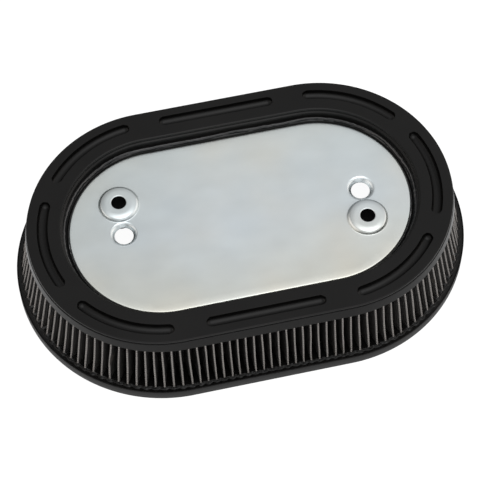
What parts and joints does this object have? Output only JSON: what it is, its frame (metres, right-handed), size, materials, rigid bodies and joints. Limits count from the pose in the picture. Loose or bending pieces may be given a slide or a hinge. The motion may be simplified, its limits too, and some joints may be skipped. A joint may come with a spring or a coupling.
{
  "type": "air filter element",
  "caption": "Oval pleated air filter element: steel end plate with raised bosses in a grooved moulded end cap, flared mesh wall and a flanged base seal.",
  "frame": {"origin": "centre of the base seal's underside, at the middle of the element's outline", "axes": "+X along the element's length, +Y across it, +Z from the base seal up to the end plate"},
  "size_m": [0.2032, 0.1325, 0.0379],
  "materials": {
    "zinc_plate": "bright zinc plated, satin, with faint clouding",
    "polyurethane_black": "moulded polyurethane, satin",
    "sealant_black": "glossy cured sealant",
    "screen_black": "woven wire mesh with a dark epoxy coat",
    "cotton_gauze": "oiled cotton gauze, dark",
    "clip_aluminium": "bare folded strip",
    "steel_black": "black oxide"
  },
  "bodies": {
    "root": {"end_plate": "zinc_plate", "top_end_cap": "polyurethane_black", "bond_bead": "sealant_black", "outer_screen": "screen_black", "gauze_ply_1": "cotton_gauze", "gauze_ply_2": "cotton_gauze", "gauze_ply_3": "cotton_gauze", "gauze_ply_4": "cotton_gauze", "inner_screen": "screen_black", "seam_clip": "clip_aluminium", "base_seal": "polyurethane_black", "spacer_sleeve_left": "steel_black", "spacer_sleeve_right": "steel_black"}
  },
  "joints": []
}
